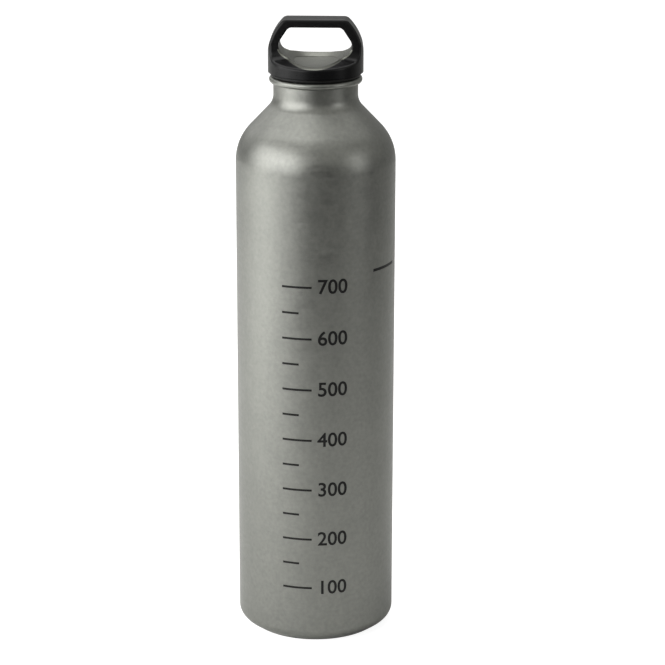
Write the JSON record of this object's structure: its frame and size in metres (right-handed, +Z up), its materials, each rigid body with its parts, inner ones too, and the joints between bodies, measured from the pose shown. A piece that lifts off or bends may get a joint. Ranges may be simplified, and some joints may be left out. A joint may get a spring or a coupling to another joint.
{
  "type": "camping fuel bottle",
  "caption": "Tall cylindrical aluminium fuel bottle with a sloped shoulder, narrow neck and rolled lip, closed by a screw plug with a black carrying loop.",
  "frame": {"origin": "centre of the circle that the foot stands on", "axes": "+Z up along the bottle's axis, +X along the bar of the loop, so the loop's gap runs along Y"},
  "size_m": [0.074, 0.074, 0.2934],
  "materials": {
    "bottle_shell": "satin",
    "seal_ring": "matte",
    "cap_core": "satin",
    "cap_handle": "fine texture"
  },
  "bodies": {
    "bottle": {"bottle_shell": "bottle_shell"},
    "seal": {"seal_ring": "seal_ring"},
    "cap": {"cap_core": "cap_core", "cap_handle": "cap_handle"}
  },
  "joints": [
    {"name": "cap_lift", "type": "slide", "parent": "bottle", "child": "seal", "axis": [0, 0, 1], "range_m": [0, 0.015]},
    {"name": "cap_turn", "type": "hinge", "parent": "seal", "child": "cap", "pos_m": [0, 0, 0.2669], "axis": [0, 0, 1], "range_deg": [0, 1800]}
  ],
  "couplings": [
    {"joint": "cap_lift", "follows": "cap_turn", "m_per_rad": 0.00047746}
  ]
}
